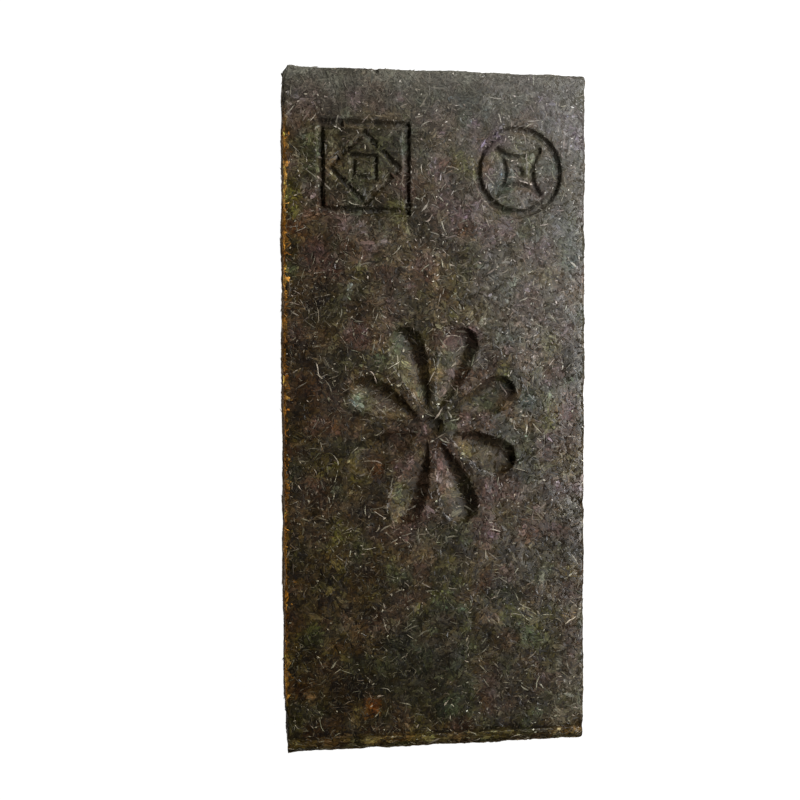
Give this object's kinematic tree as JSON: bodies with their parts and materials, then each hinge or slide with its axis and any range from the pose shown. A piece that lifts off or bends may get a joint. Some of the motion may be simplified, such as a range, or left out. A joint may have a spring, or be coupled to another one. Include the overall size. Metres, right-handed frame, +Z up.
{
  "type": "green brick tea",
  "caption": "Flat oblong slab of pressed dark tea leaf, with a sunk rosette and two small stamps on its upper face and ragged edges.",
  "frame": {"origin": "middle of the flat underside, on the surface that the brick lies on", "axes": "+Z up out of the stamped face, +Y along the brick towards the end with the two small stamps, +X across it"},
  "size_m": [0.1536, 0.3404, 0.038],
  "materials": {
    "pressed_tea": "rough"
  },
  "bodies": {
    "root": {"tea_brick": "pressed_tea"}
  },
  "joints": []
}
